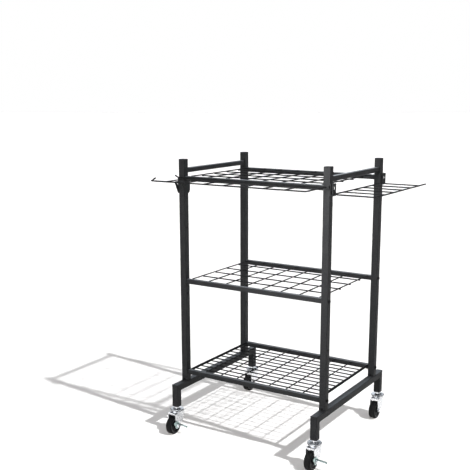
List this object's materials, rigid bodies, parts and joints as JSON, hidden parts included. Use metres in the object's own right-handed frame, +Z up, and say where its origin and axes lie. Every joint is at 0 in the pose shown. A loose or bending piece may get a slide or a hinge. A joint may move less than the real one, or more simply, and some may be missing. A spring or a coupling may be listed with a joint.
{
  "type": "freestanding garden tool rack",
  "caption": "Rolling square-tube rack with wire grids on three levels and two wire wings for hand tools, on swivel casters with side brakes.",
  "frame": {"origin": "on the floor, under the middle of the whole rack's box", "axes": "+X right along the front, +Y to the back, +Z up"},
  "size_m": [0.8692, 0.7418, 1.143],
  "materials": {
    "powder_coat": "charcoal powder coat, fine matte texture",
    "zinc": "bright zinc plate",
    "black_bolt": "black oxide, satin",
    "wheel_rubber": "moulded black rubber, matte",
    "cap_plastic": "moulded black plastic"
  },
  "bodies": {
    "root": {"base_frame_left": "powder_coat", "base_frame_right": "powder_coat", "post_lower_front_left": "powder_coat", "post_upper_front_left": "powder_coat", "post_cap_front_left": "cap_plastic", "post_lower_front_right": "powder_coat", "post_upper_front_right": "powder_coat", "post_cap_front_right": "cap_plastic", "post_lower_rear_right": "powder_coat", "post_upper_rear_right": "powder_coat", "post_cap_rear_right": "cap_plastic", "post_lower_rear_left": "powder_coat", "post_upper_rear_left": "powder_coat", "post_cap_rear_left": "cap_plastic", "bottom_rail_front": "powder_coat", "bottom_rail_rear": "powder_coat", "middle_rail_front": "powder_coat", "middle_rail_rear": "powder_coat", "top_rail_front": "powder_coat", "top_rail_rear": "powder_coat", "top_side_rail_left": "powder_coat", "top_side_rail_right": "powder_coat", "bottom_bolt_front_left": "black_bolt", "bottom_bolt_front_right": "black_bolt", "bottom_bolt_rear_right": "black_bolt", "bottom_bolt_rear_left": "black_bolt", "middle_bolt_front_left": "black_bolt", "middle_bolt_front_right": "black_bolt", "middle_bolt_rear_right": "black_bolt", "middle_bolt_rear_left": "black_bolt", "hook_bolt_front": "black_bolt", "hook_bolt_rear": "black_bolt", "top_grid": "powder_coat", "middle_grid": "powder_coat", "bottom_grid": "powder_coat", "front_wing": "powder_coat", "side_wing": "powder_coat", "front_wing_bracket_left": "powder_coat", "front_wing_bracket_right": "powder_coat", "side_wing_hook_front": "powder_coat", "side_wing_hook_rear": "powder_coat", "caster_stem_front_left": "zinc", "caster_stem_front_right": "zinc", "caster_stem_rear_right": "zinc", "caster_stem_rear_left": "zinc"},
    "swivel_front_left": {"caster_fork_front_left": "zinc", "caster_axle_front_left": "zinc"},
    "wheel_front_left": {"caster_wheel_front_left": "wheel_rubber"},
    "brake_front_left": {"brake_lever_front_left": "zinc"},
    "swivel_front_right": {"caster_fork_front_right": "zinc", "caster_axle_front_right": "zinc"},
    "wheel_front_right": {"caster_wheel_front_right": "wheel_rubber"},
    "brake_front_right": {"brake_lever_front_right": "zinc"},
    "swivel_rear_right": {"caster_fork_rear_right": "zinc", "caster_axle_rear_right": "zinc"},
    "wheel_rear_right": {"caster_wheel_rear_right": "wheel_rubber"},
    "swivel_rear_left": {"caster_fork_rear_left": "zinc", "caster_axle_rear_left": "zinc"},
    "wheel_rear_left": {"caster_wheel_rear_left": "wheel_rubber"}
  },
  "joints": [
    {"name": "swivel_front_left_turn", "type": "hinge", "parent": "root", "child": "swivel_front_left", "pos_m": [-0.40263, -0.26363, 0.1], "axis": [0, 0, 1], "continuous": true},
    {"name": "wheel_front_left_spin", "type": "hinge", "parent": "swivel_front_left", "child": "wheel_front_left", "pos_m": [-0.40263, -0.29163, 0.03727], "axis": [1, 0, 0], "continuous": true},
    {"name": "brake_front_left_press", "type": "hinge", "parent": "swivel_front_left", "child": "brake_front_left", "pos_m": [-0.40263, -0.29163, 0.03727], "axis": [-1, 0, 0], "range_deg": [0, 20]},
    {"name": "swivel_front_right_turn", "type": "hinge", "parent": "root", "child": "swivel_front_right", "pos_m": [0.24737, -0.26363, 0.1], "axis": [0, 0, 1], "continuous": true},
    {"name": "wheel_front_right_spin", "type": "hinge", "parent": "swivel_front_right", "child": "wheel_front_right", "pos_m": [0.24737, -0.29163, 0.03727], "axis": [1, 0, 0], "continuous": true},
    {"name": "brake_front_right_press", "type": "hinge", "parent": "swivel_front_right", "child": "brake_front_right", "pos_m": [0.24737, -0.29163, 0.03727], "axis": [-1, 0, 0], "range_deg": [0, 20]},
    {"name": "swivel_rear_right_turn", "type": "hinge", "parent": "root", "child": "swivel_rear_right", "pos_m": [0.24737, 0.34237, 0.1], "axis": [0, 0, 1], "continuous": true},
    {"name": "wheel_rear_right_spin", "type": "hinge", "parent": "swivel_rear_right", "child": "wheel_rear_right", "pos_m": [0.24737, 0.31437, 0.03727], "axis": [1, 0, 0], "continuous": true},
    {"name": "swivel_rear_left_turn", "type": "hinge", "parent": "root", "child": "swivel_rear_left", "pos_m": [-0.40263, 0.34237, 0.1], "axis": [0, 0, 1], "continuous": true},
    {"name": "wheel_rear_left_spin", "type": "hinge", "parent": "swivel_rear_left", "child": "wheel_rear_left", "pos_m": [-0.40263, 0.31437, 0.03727], "axis": [1, 0, 0], "continuous": true}
  ]
}
